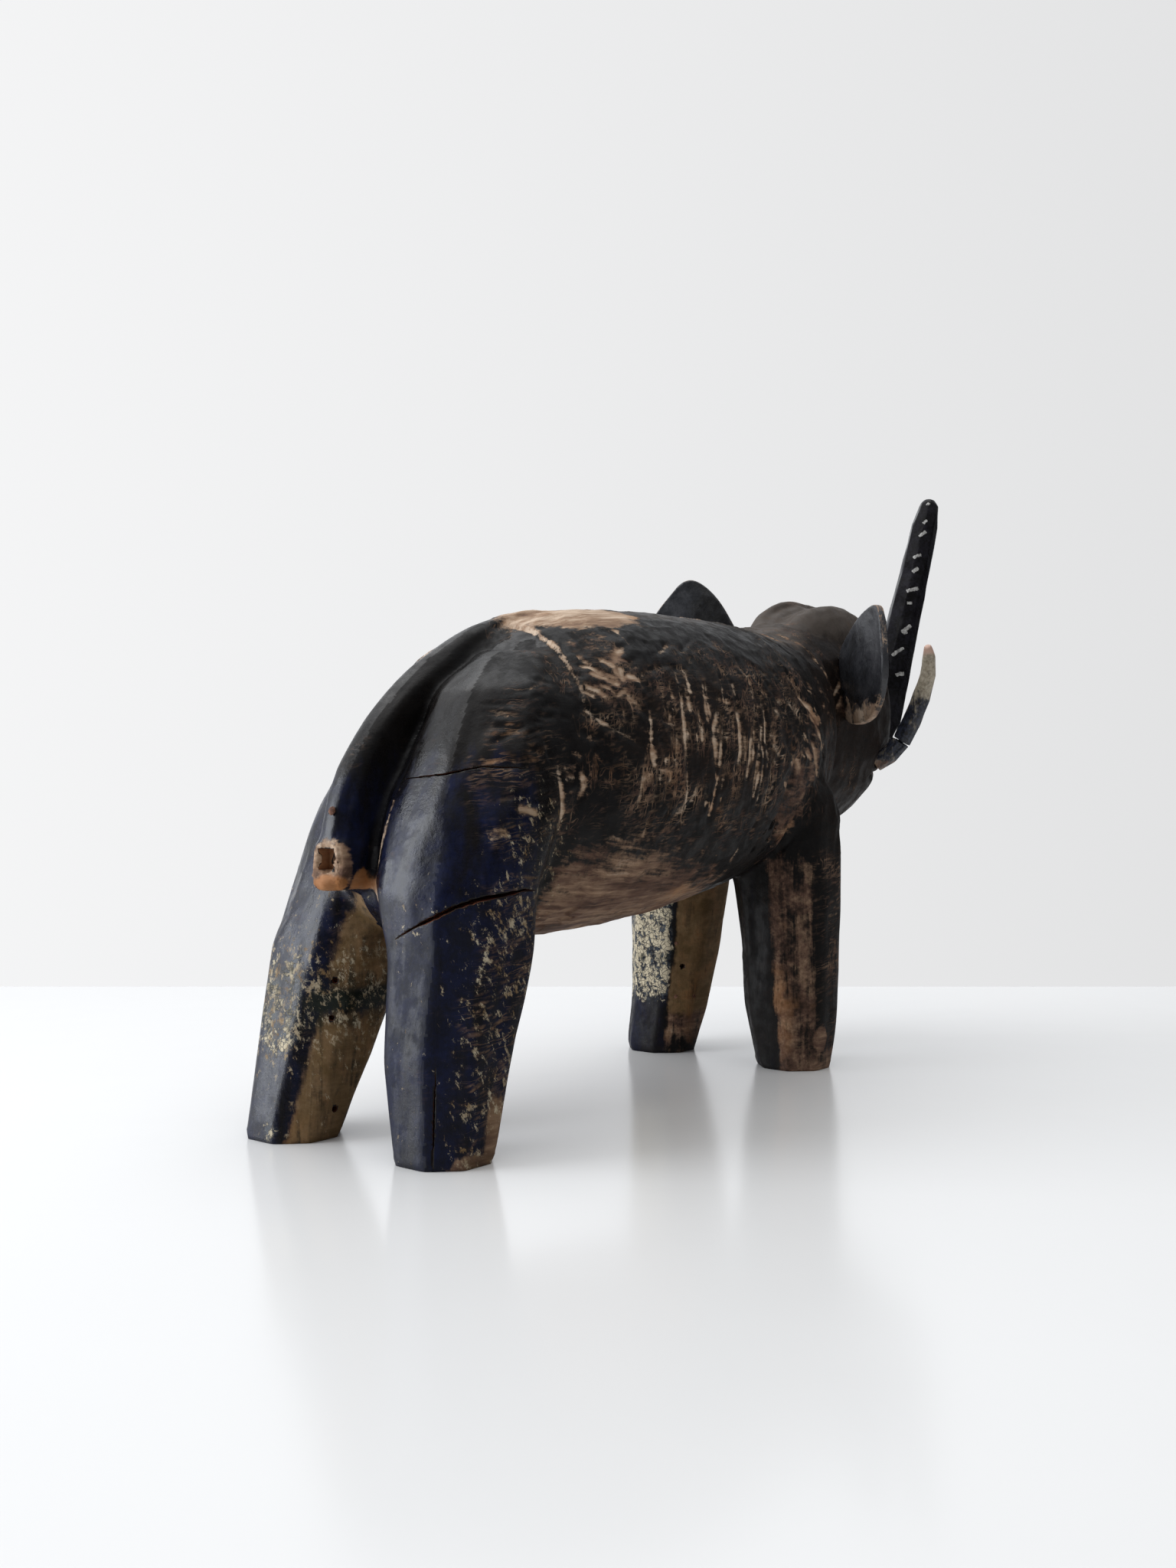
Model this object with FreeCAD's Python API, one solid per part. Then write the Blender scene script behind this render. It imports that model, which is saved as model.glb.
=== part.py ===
"""A standing elephant, carved from one log, with its trunk, ears and tusks set in.

Millimetres. +X is forward, towards the head, +Y is the elephant's left and +Z is up.
The origin is on the floor, under the middle of the overall box. Every place below is
measured along the log from the middle of the four feet, and MIDDLE moves it there at the end.
"""
import FreeCAD, Part
import math
import os
from FreeCAD import Matrix, Placement, Rotation, Vector

# Overall placing
MIDDLE = Vector(134.5, 1.3, 0.0)    # middle of the overall box, measured from the middle of the feet

# Torso and head, as rings across the log: x, underside, top, half width
TORSO = [
    (-206, 160, 196, 14),
    (-199, 145, 211, 34),
    (-183, 131, 233, 54),
    (-160, 123, 260, 74),
    (-130, 119, 291, 91),
    (-92, 119, 320, 101),
    (-50, 120, 336, 106),
    (0, 122, 343, 107),
    (50, 127, 346, 106),
    (100, 134, 347, 103),
    (145, 142, 346, 98),
    (190, 153, 344, 90),
    (225, 166, 344, 80),
    (255, 184, 344, 70),
]
HEAD = [
    (205, 190, 344, 66),
    (250, 184, 352, 62),
    (305, 183, 360, 58),
    (350, 192, 362, 54),
    (392, 220, 344, 45),
    (414, 248, 312, 24),
]
RING_POINTS = 12
RING_SQUARENESS = 2.3               # 2 is an ellipse, larger is squarer

# Domes on the crown: middle, and half sizes along, across and up
DOME_CENTRE = Vector(334, 15, 340)
DOME_HALF = Vector(72, 27, 42)
RIGHT_DOME_DROP = 5.0

# Legs, as eight-sided sections from the sole up: x, y, z, across the flats
LEGS = {
    "right_hind": [
        (-201, -68, 0, 54),
        (-199, -67, 10, 60),
        (-191, -62, 60, 71),
        (-175, -57, 120, 85),
        (-170, -50, 160, 98),
        (-153, -48, 200, 104),
        (-137, -46, 240, 100),
        (-122, -42, 280, 80),
        (-98, -36, 306, 48),
    ],
    "left_hind": [
        (-212, 52, 0, 54),
        (-209, 52, 10, 60),
        (-193, 50, 60, 70),
        (-176, 46, 120, 84),
        (-155, 42, 160, 96),
        (-135, 42, 200, 100),
        (-112, 42, 240, 94),
        (-90, 40, 282, 70),
    ],
    "right_front": [
        (188, -69, 0, 52),
        (189, -68, 10, 58),
        (193, -64, 45, 67),
        (197, -60, 90, 72),
        (199, -57, 126, 78),
        (201, -53, 160, 83),
        (202, -51, 200, 84),
        (194, -46, 240, 74),
    ],
    "left_front": [
        (187, 58, 0, 52),
        (189, 58, 10, 57),
        (198, 56, 45, 61),
        (202, 53, 90, 70),
        (203, 51, 126, 76),
        (202, 49, 160, 82),
        (202, 49, 200, 84),
        (194, 46, 240, 74),
    ],
}

# Spine ridge that runs down over the rump to the broken tail
RIDGE_WIDTH = 23.0
RIDGE_ROUND = 8.0
RIDGE_TOP = [(-40, 340), (-102, 325), (-140, 306), (-182, 275), (-212, 239), (-229, 204), (-233, 174)]
TAIL_STUB = (-235.0, -185.0, 156.0, 186.0)     # rear, front, low, high
TAIL_STUB_WIDTH = 27.0
TAIL_HOLE = 13.0
TAIL_HOLE_DEPTH = 12.0
TAIL_HOLE_Z = 175.0

# Trunk: middle line from the face to the tip, with the width across its eight flats
TRUNK = [
    (404, -18, 266, 42),
    (420, -20.5, 283, 38),
    (430, -22, 303, 34),
    (440, -24, 332, 32),
    (470, -27, 408, 28),
    (492, -29.5, 466, 24),
    (499, -30, 485, 19),
    (501.5, -30, 491.5, 10),
]
TRUNK_TENON_RADIUS = 10.0
TRUNK_TENON_LENGTH = 36.0
TRUNK_SEAT_RADIUS = 24.0

# Ears: the outline in the plane of the board, outward from the head and up from the slot's middle
EAR_THICKNESS = 7.0
EAR_TONGUE = (24.0, 26.0)           # depth into the head, height
EAR_TONGUE_DROP = 10.0              # middle of the tongue below the middle of the ear
EAR_OUTLINE = [
    (0, -22), (10, -42), (42, -50), (75, -38), (88, -8), (85, 22), (76, 43), (54, 42), (26, 26), (2, 6),
]
EAR_SWEEP = 38.0                    # degrees the board leans backwards
EAR_RIGHT_ROOT = Vector(298, -50, 319)
EAR_RIGHT_TURN = 0.0                # degrees the board is turned in its own plane
EAR_RIGHT_SCALE = 1.0
EAR_LEFT_ROOT = Vector(304, 49, 323)
EAR_LEFT_TURN = 27.0
EAR_LEFT_SCALE = 1.08

# Tusks: middle line of the right one, from inside the cheek to the tip, with its width
TUSK = [
    (370, -42, 238, 15),
    (375, -53, 246, 16.5),
    (379, -63, 258, 16.5),
    (381, -72, 275, 16),
    (379, -82, 295, 15.5),
    (374, -91, 314, 13.5),
    (366, -96.5, 331, 10.5),
    (361, -97.5, 339, 6),
]
TUSK_JOINT = 2                      # the section where the root piece ends and the tusk begins
TUSK_PEG_RADIUS = 3.0
TUSK_PEG_LENGTH = 8.0

# Nails
RUMP_NAIL_AT = Vector(-229.3, -3, 204)
RUMP_NAIL_HEAD_RADIUS = 2.8
RUMP_NAIL_SHANK_RADIUS = 1.4
RUMP_NAIL_LENGTH = 22.0
LEG_NAIL_RADIUS = 1.5
LEG_NAIL_DEPTH = 14.0
LEG_NAIL_PROUD = 1.6
LEG_NAILS = [                       # foot of each nail on the left legs: x, z, degrees from +X
    (-187, 110, 128),
    (-194, 74, 128),
    (204, 90, 214),
    (203, 46, 214),
    (206, 46, 236),
]

CLEARANCE = 0.2                     # left all round every tenon, tongue, peg and nail


def ring(x, low, high, half_width):
    """A closed curve across the log, rounder than a rectangle and squarer than an ellipse."""
    points = []
    for step in range(RING_POINTS):
        angle = 2 * math.pi * (step + 0.5) / RING_POINTS
        across = math.copysign(abs(math.cos(angle)) ** (2 / RING_SQUARENESS), math.cos(angle))
        upward = math.copysign(abs(math.sin(angle)) ** (2 / RING_SQUARENESS), math.sin(angle))
        middle = (low + high) / 2
        points.append(Vector(x, half_width * across, middle + (high - middle) * upward))
    curve = Part.BSplineCurve()
    curve.interpolate(points, PeriodicFlag=True)
    return Part.Wire(curve.toShape())


def barrel(stations):
    """A smooth solid through a row of rings."""
    return Part.makeLoft([ring(*station) for station in stations], True, False)


def octagon(centre, forward, width):
    """An eight-sided wire round a point, square to a direction."""
    forward = Vector(forward).normalize()
    side = forward.cross(Vector(0, 1, 0))
    if side.Length < 0.5:
        side = forward.cross(Vector(1, 0, 0))
    side.normalize()
    other = forward.cross(side)
    radius = width / 2 / math.cos(math.pi / 8)
    points = []
    for step in range(8):
        angle = math.pi * (step + 0.5) / 4
        points.append(centre + side * radius * math.cos(angle) + other * radius * math.sin(angle))
    return Part.makePolygon(points + points[:1])


def leg(stations):
    """A leg with eight long facets."""
    wires = [octagon(Vector(x, y, z), Vector(0, 0, 1), width) for x, y, z, width in stations]
    return Part.makeLoft(wires, True, True)


def stick(stations):
    """A faceted stick along a bent middle line."""
    points = [Vector(*station[:3]) for station in stations]
    wires = []
    for index, station in enumerate(stations):
        before = points[max(index - 1, 0)]
        after = points[min(index + 1, len(points) - 1)]
        wires.append(octagon(points[index], after - before, station[3]))
    return Part.makeLoft(wires, True, True)


def dome(side):
    """One half of the crown, an ellipsoid."""
    ball = Part.makeSphere(1.0)
    scale = Matrix()
    scale.scale(DOME_HALF.x, DOME_HALF.y, DOME_HALF.z)
    ball = ball.transformGeometry(scale)
    drop = RIGHT_DOME_DROP if side < 0 else 0
    ball.translate(Vector(DOME_CENTRE.x, side * DOME_CENTRE.y, DOME_CENTRE.z - drop))
    return ball


def spine_ridge():
    """The ridge over the rump, a plate with a rounded outer edge."""
    outer = Part.BSplineCurve()
    outer.interpolate([Vector(x, -RIDGE_WIDTH / 2, z) for x, z in RIDGE_TOP])
    start = outer.StartPoint
    end = outer.EndPoint
    heart = Vector(-120, -RIDGE_WIDTH / 2, 220)
    edges = [outer.toShape(), Part.LineSegment(end, heart).toShape(), Part.LineSegment(heart, start).toShape()]
    plate = Part.Face(Part.Wire(edges)).extrude(Vector(0, RIDGE_WIDTH, 0))
    rims = [edge for edge in plate.Edges if edge.Curve.TypeId == "Part::GeomBSplineCurve"]
    return plate.makeFillet(RIDGE_ROUND, rims)


def tail_stub():
    """What is left of the broken tail, with its square hole still open."""
    rear, front, low, high = TAIL_STUB
    stub = Part.makeBox(front - rear, TAIL_STUB_WIDTH, high - low, Vector(rear, -TAIL_STUB_WIDTH / 2, low))
    return stub.makeFillet(4.0, [edge for edge in stub.Edges if abs(edge.CenterOfMass.x - rear) < 1])


def tail_hole():
    size = TAIL_HOLE
    corner = Vector(TAIL_STUB[0] - 10, -size / 2, TAIL_HOLE_Z - size / 2)
    return Part.makeBox(TAIL_HOLE_DEPTH + 10, size, size, corner)


def trunk_direction():
    start = Vector(*TRUNK[0][:3])
    return (Vector(*TRUNK[1][:3]) - start).normalize()


def trunk():
    """The raised trunk, with a round tenon at its root."""
    start = Vector(*TRUNK[0][:3])
    back = trunk_direction() * -1
    tenon = Part.makeCylinder(TRUNK_TENON_RADIUS, TRUNK_TENON_LENGTH + 1, start - back, back)
    return stick(TRUNK).fuse(tenon).removeSplitter()


def trunk_socket():
    """The flat seat on the face and the mortise behind it."""
    start = Vector(*TRUNK[0][:3])
    ahead = trunk_direction()
    seat = Part.makeCylinder(TRUNK_SEAT_RADIUS, 40, start, ahead)
    depth = TRUNK_TENON_LENGTH + CLEARANCE
    mortise = Part.makeCylinder(TRUNK_TENON_RADIUS + CLEARANCE, depth + 1, start + ahead, ahead * -1)
    return seat.fuse(mortise)


def board(scale, grow):
    """An ear in its own plane: X is outward from the head, Z is up, Y is the thickness."""
    points = [Vector(x * scale, 0, z * scale) for x, z in EAR_OUTLINE]
    curve = Part.BSplineCurve()
    curve.interpolate(points, PeriodicFlag=True)
    blade = Part.Face(Part.Wire(curve.toShape())).extrude(Vector(0, EAR_THICKNESS, 0))
    blade.translate(Vector(0, -EAR_THICKNESS / 2, 0))
    deep, tall = EAR_TONGUE
    low = Vector(-deep - grow, -EAR_THICKNESS / 2 - grow, -EAR_TONGUE_DROP - tall / 2 - grow)
    tongue = Part.makeBox(deep + 12 + grow, EAR_THICKNESS + 2 * grow, tall + 2 * grow, low)
    return blade, tongue


def placed_ear(shape, root, turn, side):
    """Turns an ear in its plane, swings it out and back, and sets it on the head."""
    shape = shape.copy()
    shape.rotate(Vector(0, 0, 0), Vector(0, 1, 0), -turn)
    shape.rotate(Vector(0, 0, 0), Vector(0, 0, 1), side * (90 + EAR_SWEEP))
    shape.translate(root)
    return shape


def ear(side):
    """The board of the ear, its tongue and the slot for the tongue."""
    left = side > 0
    root = EAR_LEFT_ROOT if left else EAR_RIGHT_ROOT
    turn = EAR_LEFT_TURN if left else EAR_RIGHT_TURN
    scale = EAR_LEFT_SCALE if left else EAR_RIGHT_SCALE
    blade, tongue = board(scale, 0)
    slot = board(scale, CLEARANCE)[1]
    return [placed_ear(shape, root, turn, side) for shape in (blade, tongue, slot)]


def mirrored(shape, side):
    if side < 0:
        return shape
    return shape.mirror(Vector(0, 0, 0), Vector(0, 1, 0))


def tusk_pieces():
    """The right tusk: its root, the part beyond the joint, and the socket in the cheek."""
    joint = Vector(*TUSK[TUSK_JOINT][:3])
    ahead = (Vector(*TUSK[TUSK_JOINT + 1][:3]) - Vector(*TUSK[TUSK_JOINT - 1][:3])).normalize()
    start = joint - ahead * TUSK_PEG_LENGTH
    peg = Part.makeCylinder(TUSK_PEG_RADIUS, TUSK_PEG_LENGTH + 1, start, ahead)
    hole_start = start - ahead * CLEARANCE
    hole = Part.makeCylinder(TUSK_PEG_RADIUS + CLEARANCE, TUSK_PEG_LENGTH + 2, hole_start, ahead)
    half = Part.makeBox(200, 200, 200, Vector(-100, -100, 0))
    half.Placement = Placement(joint, Rotation(Vector(0, 0, 1), ahead))
    whole = stick(TUSK)
    root = whole.cut(half).cut(hole)
    outer = whole.common(half).fuse(peg).removeSplitter()
    wide = [(x, y, z, width + 2 * CLEARANCE) for x, y, z, width in TUSK]
    return root, outer, stick(wide)


def turned(profile, start, direction):
    """A solid of revolution from (radius, distance along the axis) pairs."""
    points = [Vector(radius, 0, along) for radius, along in profile]
    face = Part.Face(Part.makePolygon(points + points[:1]))
    solid = face.revolve(Vector(0, 0, 0), Vector(0, 0, 1), 360)
    solid.Placement = Placement(start, Rotation(Vector(0, 0, 1), direction))
    return solid


def rump_nail():
    """A round-headed nail driven into the ridge, and its hole."""
    inward = Vector(1, 0, -0.25)
    head = RUMP_NAIL_HEAD_RADIUS
    shank = RUMP_NAIL_SHANK_RADIUS
    crown = [(0, -0.55 * head), (0.5 * head, -0.48 * head), (0.85 * head, -0.25 * head), (head, 0)]
    nail = turned(crown + [(shank, 0.2 * head), (shank, RUMP_NAIL_LENGTH), (0, RUMP_NAIL_LENGTH)],
                  RUMP_NAIL_AT, inward)
    wide = head + CLEARANCE
    bore = shank + CLEARANCE
    seat = 0.2 * head + CLEARANCE
    deep = RUMP_NAIL_LENGTH + CLEARANCE
    hole = turned([(0, -8), (wide, -8), (wide, 0), (bore, seat), (bore, deep), (0, deep)], RUMP_NAIL_AT, inward)
    return nail, hole


def leg_nails(body):
    """Cut-off nails that stand a little proud of the left legs, and their holes."""
    nails = []
    holes = []
    for x, z, degrees in LEG_NAILS:
        outward = Vector(math.cos(math.radians(degrees)), math.sin(math.radians(degrees)), 0)
        middle = Vector(x, 54, z)
        probe = Part.makeLine(middle, middle + outward * 80)
        skin = max((middle.distanceToPoint(v.Point) for v in body.common(probe).Vertexes))
        start = middle + outward * (skin - LEG_NAIL_DEPTH)
        nails.append(Part.makeCylinder(LEG_NAIL_RADIUS, LEG_NAIL_DEPTH + LEG_NAIL_PROUD, start, outward))
        begin = start - outward * CLEARANCE
        holes.append(Part.makeCylinder(LEG_NAIL_RADIUS + CLEARANCE, LEG_NAIL_DEPTH + 10, begin, outward))
    return Part.makeCompound(nails), holes


def main():
    os.makedirs("parts", exist_ok=True)
    parts = {}

    log = barrel(TORSO).fuse(barrel(HEAD))
    log = log.fuse([leg(stations) for stations in LEGS.values()])
    log = log.fuse([dome(1), dome(-1), spine_ridge(), tail_stub()]).cut(tail_hole())

    cuts = [trunk_socket()]
    parts["trunk"] = trunk()
    root, outer, socket = tusk_pieces()
    for name, side in (("right", -1), ("left", 1)):
        blade, tongue, slot = ear(side)
        parts["ear_" + name] = blade.cut(log).fuse(tongue).removeSplitter()
        cuts.append(slot)
        cheek = mirrored(socket, side)
        parts["tusk_root_" + name] = mirrored(root, side)
        parts["tusk_" + name] = mirrored(outer, side)
        cuts.append(cheek)
    parts["nail_rump"], nail_bore = rump_nail()
    parts["nails_leg"], holes = leg_nails(log)
    body = log.cut(cuts + [nail_bore] + holes)
    parts["body"] = body

    for name, shape in parts.items():
        shape.translate(MIDDLE * -1)
        shape.exportStep("parts/" + name + ".step")
        box = shape.optimalBoundingBox()
        print(name, len(shape.Solids), shape.isValid(), round(shape.Volume / 1000, 1), "cm3",
              [round(v, 1) for v in (box.XMin, box.XMax, box.YMin, box.YMax, box.ZMin, box.ZMax)])


main()
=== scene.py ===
"""The look of a standing elephant, carved from one log and painted black and indigo.

Places are in millimetres from the middle of the four feet, with +X forward, +Y to the
elephant's left and +Z up. MIDDLE is the middle of the overall box in those terms, and
it carries every place into the frame, which is in metres.
"""
import math

import bmesh
import bpy
import numpy as np
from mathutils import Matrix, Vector, kdtree


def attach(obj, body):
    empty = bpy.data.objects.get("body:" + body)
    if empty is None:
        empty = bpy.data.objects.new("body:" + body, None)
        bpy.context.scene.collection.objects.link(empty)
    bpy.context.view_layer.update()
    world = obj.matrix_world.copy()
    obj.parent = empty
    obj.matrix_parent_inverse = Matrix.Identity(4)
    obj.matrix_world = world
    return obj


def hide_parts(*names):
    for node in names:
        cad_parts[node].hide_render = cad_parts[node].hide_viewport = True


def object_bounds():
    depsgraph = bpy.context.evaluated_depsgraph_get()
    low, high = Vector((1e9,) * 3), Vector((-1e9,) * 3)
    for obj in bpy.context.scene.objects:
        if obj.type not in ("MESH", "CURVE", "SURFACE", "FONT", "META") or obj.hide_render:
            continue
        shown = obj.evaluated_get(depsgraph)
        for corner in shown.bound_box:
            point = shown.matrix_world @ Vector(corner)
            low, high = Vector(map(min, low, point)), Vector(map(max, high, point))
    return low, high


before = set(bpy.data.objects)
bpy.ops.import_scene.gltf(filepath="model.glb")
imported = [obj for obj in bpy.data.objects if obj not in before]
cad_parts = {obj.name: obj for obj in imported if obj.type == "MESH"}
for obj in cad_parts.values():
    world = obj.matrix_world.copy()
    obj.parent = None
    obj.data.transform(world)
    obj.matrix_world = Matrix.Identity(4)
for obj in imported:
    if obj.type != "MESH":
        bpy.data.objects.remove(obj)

CAD_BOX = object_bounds()
MM = 0.001
MIDDLE = np.array((134.5, 1.3, 0.0))
BODY_VOXEL = 1.6
SMALL_VOXEL = 0.9
draw = np.random.default_rng(11)


def rounds(count):
    """Rounds of smoothing that do on this grid what count rounds do on a 1.6 mm one."""
    return int(count * (1.6 / BODY_VOXEL) ** 2)


UP = np.array((0.0, 0.0, 1.0))
FORWARD = np.array((1.0, 0.0, 0.0))


# ---------------------------------------------------------------- surfaces

def unit(vectors):
    length = np.linalg.norm(vectors, axis=-1, keepdims=True)
    return vectors / np.maximum(length, 1e-9)


def fade(value, start, end):
    """0 at start, 1 at end, smooth between."""
    t = np.clip((value - start) / (end - start), 0, 1)
    return t * t * (3 - 2 * t)


def placed(name, data):
    """A new object in the scene."""
    thing = bpy.data.objects.new(name, data)
    bpy.context.scene.collection.objects.link(thing)
    return thing


def remade(piece):
    """Gives a piece the mesh that its modifiers make of it."""
    shaped = piece.evaluated_get(bpy.context.evaluated_depsgraph_get())
    mesh = bpy.data.meshes.new_from_object(shaped)
    piece.modifiers.clear()
    piece.data = mesh
    return mesh


class Skin:
    """The surface of one piece as arrays, which the carving works on."""

    def __init__(self, name, node, voxel):
        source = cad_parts[node]
        work = placed(name, source.data.copy())
        work.data.materials.clear()
        grid = work.modifiers.new("grid", "REMESH")
        grid.mode = "VOXEL"
        grid.voxel_size = voxel * MM
        mesh = remade(work)
        mesh.name = name
        self.piece = work
        self.mesh = mesh
        self.voxel = voxel
        self.marks = {}
        self.read()

    def read(self):
        mesh = self.mesh
        flat = np.empty(len(mesh.vertices) * 3, np.float32)
        mesh.vertices.foreach_get("co", flat)
        self.points = flat.reshape(-1, 3).astype(np.float64) / MM + MIDDLE
        pairs = np.empty(len(mesh.edges) * 2, np.int32)
        mesh.edges.foreach_get("vertices", pairs)
        self.pairs = pairs.reshape(-1, 2)
        self.degree = np.maximum(np.bincount(pairs, minlength=len(mesh.vertices)), 1)
        self.refresh()

    def refresh(self):
        """Writes the points to the mesh and reads its normals back."""
        self.mesh.vertices.foreach_set("co", ((self.points - MIDDLE) * MM).astype(np.float32).ravel())
        self.mesh.update()
        flat = np.empty(len(self.mesh.vertices) * 3, np.float32)
        self.mesh.vertex_normals.foreach_get("vector", flat)
        self.normals = flat.reshape(-1, 3).astype(np.float64)

    def around(self, values):
        """The mean of each point's neighbours."""
        one, two = self.pairs.T
        count = len(self.degree)
        total = np.empty_like(values)
        for axis in range(values.shape[1]):
            column = values[:, axis]
            total[:, axis] = np.bincount(one, column[two], count) + np.bincount(two, column[one], count)
        return total / self.degree[:, None]

    def smooth(self, rounds, weight=1.0):
        weight = np.broadcast_to(weight, len(self.points))[:, None] * 0.6
        for _ in range(rounds):
            self.points += weight * (self.around(self.points) - self.points)
        self.refresh()

    def index(self):
        tree = kdtree.KDTree(len(self.points))
        for number, point in enumerate(self.points):
            tree.insert(point, number)
        tree.balance()
        self.tree = tree

    def near(self, centre, radius):
        return np.array([found[1] for found in self.tree.find_range(centre, radius)], np.int64)

    def seeds(self, spacing, wanted):
        """Points spread over the wanted part of the surface, about a spacing apart."""
        taken = []
        free = wanted.copy()
        for number in draw.permutation(np.flatnonzero(wanted)):
            if free[number]:
                taken.append(number)
                free[self.near(self.points[number], spacing)] = False
        return taken

    def scoop(self, number, along, depth, long, wide, lean=0.0):
        """One gouge cut, almost flat, that runs out at both ends. Cuts overlap without adding up."""
        normal = unit(self.normals[number] + lean * draw.normal(size=3))
        along = unit(along - normal * (along @ normal))
        across = np.cross(normal, along)
        close = self.near(self.points[number], long)
        offset = self.points[close] - self.points[number]
        height = offset @ normal
        bowl = depth * (1 - (offset @ along / long) ** 2 - (offset @ across / wide) ** 2)
        slope = self.normals[close] @ normal
        cut = np.where(slope > 0.35, np.clip(height + bowl, 0, 2 * np.maximum(bowl, 0)), 0)
        self.cut_away[close] = np.maximum(self.cut_away[close], cut / np.maximum(slope, 0.5))

    def nearest_on(self, path):
        """For every point: the distance to a path of straight runs, how far along it lies, and its side."""
        path = np.asarray(path, float)
        best = np.full(len(self.points), 1e9)
        place = np.zeros(len(self.points))
        side = np.zeros(len(self.points))
        for number in range(len(path) - 1):
            start = path[number]
            run = path[number + 1] - start
            offset = self.points - start
            t = np.clip(offset @ run / (run @ run), 0, 1)
            gap = offset - t[:, None] * run
            distance = np.linalg.norm(gap, axis=1)
            closer = distance < best
            best = np.where(closer, distance, best)
            place = np.where(closer, (number + t) / (len(path) - 1), place)
            turn = np.einsum("ij,ij->i", np.cross(np.broadcast_to(unit(run), gap.shape), self.normals), gap)
            side = np.where(closer, turn, side)
        return best, place, side

    def groove(self, path, width, depth, ends=0.12):
        """A groove with soft walls along a path. It tapers at both ends."""
        distance, place, _ = self.nearest_on(path)
        taper = fade(place, -0.001, ends) * fade(1 - place, -0.001, ends)
        amount = depth * np.exp(-(distance / width) ** 2) * taper
        self.points -= amount[:, None] * self.normals
        return amount / depth

    def step(self, path, height, run):
        """Raises the surface on the right of a path, highest at the path itself."""
        distance, place, side = self.nearest_on(path)
        taper = fade(place, -0.001, 0.15) * fade(1 - place, -0.001, 0.15)
        rise = height * np.exp(-np.abs(side) / run) * fade(side, -1.2, 1.2) * np.exp(-(distance / (2.5 * run)) ** 2)
        self.points += (rise * taper)[:, None] * self.normals
        return np.exp(-(distance / 2.2) ** 2) * taper

    def local_groove(self, centre, path, width, depth):
        """A groove that only looks at the points near its middle, for small strokes."""
        path = np.asarray(path, float)
        reach = max(np.linalg.norm(path - centre, axis=1)) + 4 * width
        close = self.near(centre, reach)
        amount = np.zeros(len(self.points))
        best = np.full(len(close), 1e9)
        place = np.zeros(len(close))
        for number in range(len(path) - 1):
            run = path[number + 1] - path[number]
            offset = self.points[close] - path[number]
            t = np.clip(offset @ run / max(run @ run, 1e-6), 0, 1)
            distance = np.linalg.norm(offset - t[:, None] * run, axis=1)
            place = np.where(distance < best, (number + t) / (len(path) - 1), place)
            best = np.minimum(best, distance)
        taper = fade(place, -0.01, 0.25) * fade(1 - place, -0.01, 0.25)
        amount[close] = np.exp(-(best / width) ** 2) * taper
        self.points[close] -= (depth * amount[close])[:, None] * self.normals[close]
        return amount

    def mark(self, name, amount):
        """Keeps the stronger of what is there and a new amount, point by point."""
        self.marks[name] = np.maximum(self.marks.get(name, 0), amount)

    def patch(self, name, centre, half, strength=1.0):
        """Marks a soft ellipsoid."""
        reach = np.linalg.norm((self.points - np.array(centre)) / np.array(half), axis=1)
        self.mark(name, strength * fade(-reach, -1.3, -0.55))

    def bend(self):
        """How sharply the surface turns outward at each point, in about 1/mm."""
        inward = np.einsum("ij,ij->i", self.around(self.points) - self.points, self.normals)
        return -inward / self.voxel ** 2

    def mark_edges(self, times, start, end):
        """Marks the edges that stand out, evened a little, and returns how sharply the surface turns."""
        turn = self.bend()
        for _ in range(times):
            turn = self.around(turn[:, None])[:, 0]
        self.mark("edge", fade(turn, start, end))
        return turn

    def done(self, node, slot, material, *more):
        self.refresh()
        for name, amount in self.marks.items():
            layer = self.mesh.attributes.new(name, "FLOAT", "POINT")
            values = np.broadcast_to(np.clip(amount, 0, 1), len(self.points))
            layer.data.foreach_set("value", values.astype(np.float32))
        for item in (material,) + more:
            self.mesh.materials.append(item)
        self.mesh.polygons.foreach_set("use_smooth", np.ones(len(self.mesh.polygons), bool))
        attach(self.piece, "root")
        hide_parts(node)


def cut_with(skin, tool):
    """Takes a closed shape out of a finished piece, and drops the shape."""
    cut = skin.piece.modifiers.new("cut", "BOOLEAN")
    cut.operation = "DIFFERENCE"
    cut.solver = "MANIFOLD"
    cut.object = tool
    remade(skin.piece)
    bpy.data.objects.remove(tool)


def cutter(name, shape, material):
    """Makes an object of a closed shape."""
    mesh = bpy.data.meshes.new(name)
    shape.to_mesh(mesh)
    shape.free()
    mesh.materials.append(material)
    return placed(name, mesh)


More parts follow.
